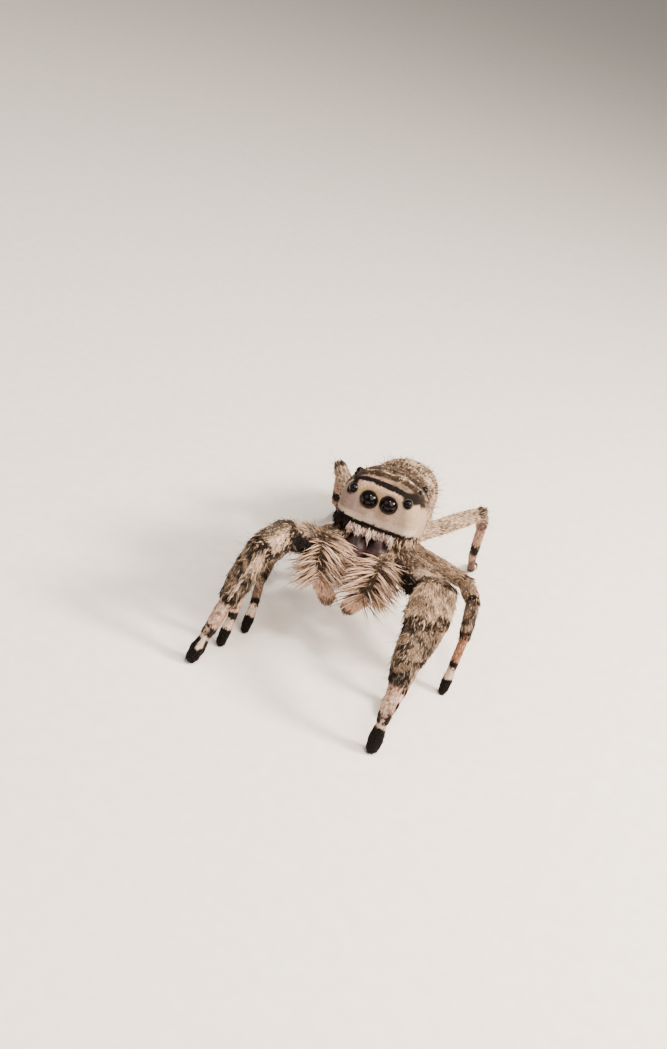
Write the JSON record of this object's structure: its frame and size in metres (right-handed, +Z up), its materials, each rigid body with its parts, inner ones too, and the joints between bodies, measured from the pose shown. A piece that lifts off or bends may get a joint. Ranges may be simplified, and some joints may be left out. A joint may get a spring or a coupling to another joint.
{
  "type": "jumping spider",
  "caption": "Life-size still model of a large grey jumping spider, standing high with its front legs spread forward and its big front eyes facing ahead.",
  "frame": {"origin": "on the floor, under the middle of the spider's overall box", "axes": "+Z up from the floor; the spider faces -Y, and its left side is +X"},
  "size_m": [0.0126, 0.0238, 0.0094],
  "materials": {
    "grey_coat": "short grey, cream and brown hairs lying flat, with long white ones standing out",
    "white_coat": "white and cream hairs with dark bands",
    "dark_coat": "short black-brown hairs",
    "eye_lens": "black glossy lens",
    "jaw_shell": "dark shell with a violet metallic sheen",
    "fang_shell": "polished dark red-brown shell"
  },
  "bodies": {
    "root": {"cephalothorax": "grey_coat", "pedicel": "dark_coat", "abdomen": "grey_coat", "spinnerets": "dark_coat", "left_front_middle_eye": "eye_lens", "right_front_middle_eye": "eye_lens", "left_front_side_eye": "eye_lens", "right_front_side_eye": "eye_lens", "left_small_side_eye": "eye_lens", "right_small_side_eye": "eye_lens", "left_rear_side_eye": "eye_lens", "right_rear_side_eye": "eye_lens", "left_chelicera": "jaw_shell", "right_chelicera": "jaw_shell", "left_fang": "fang_shell", "right_fang": "fang_shell", "left_palp_upper": "white_coat", "left_palp_lower": "white_coat", "right_palp_upper": "white_coat", "right_palp_lower": "white_coat", "left_leg_1_femur": "grey_coat", "left_leg_1_patella": "white_coat", "left_leg_1_tibia": "grey_coat", "left_leg_1_metatarsus": "white_coat", "left_leg_1_tarsus": "dark_coat", "right_leg_1_femur": "grey_coat", "right_leg_1_patella": "white_coat", "right_leg_1_tibia": "grey_coat", "right_leg_1_metatarsus": "white_coat", "right_leg_1_tarsus": "dark_coat", "left_leg_2_femur": "grey_coat", "left_leg_2_patella": "white_coat", "left_leg_2_tibia": "grey_coat", "left_leg_2_metatarsus": "white_coat", "left_leg_2_tarsus": "dark_coat", "right_leg_2_femur": "grey_coat", "right_leg_2_patella": "white_coat", "right_leg_2_tibia": "grey_coat", "right_leg_2_metatarsus": "white_coat", "right_leg_2_tarsus": "dark_coat", "left_leg_3_femur": "grey_coat", "left_leg_3_patella": "white_coat", "left_leg_3_tibia": "grey_coat", "left_leg_3_metatarsus": "white_coat", "left_leg_3_tarsus": "dark_coat", "right_leg_3_femur": "grey_coat", "right_leg_3_patella": "white_coat", "right_leg_3_tibia": "grey_coat", "right_leg_3_metatarsus": "white_coat", "right_leg_3_tarsus": "dark_coat", "left_leg_4_femur": "grey_coat", "left_leg_4_patella": "white_coat", "left_leg_4_tibia": "grey_coat", "left_leg_4_metatarsus": "white_coat", "left_leg_4_tarsus": "dark_coat", "right_leg_4_femur": "grey_coat", "right_leg_4_patella": "white_coat", "right_leg_4_tibia": "grey_coat", "right_leg_4_metatarsus": "white_coat", "right_leg_4_tarsus": "dark_coat"}
  },
  "joints": []
}
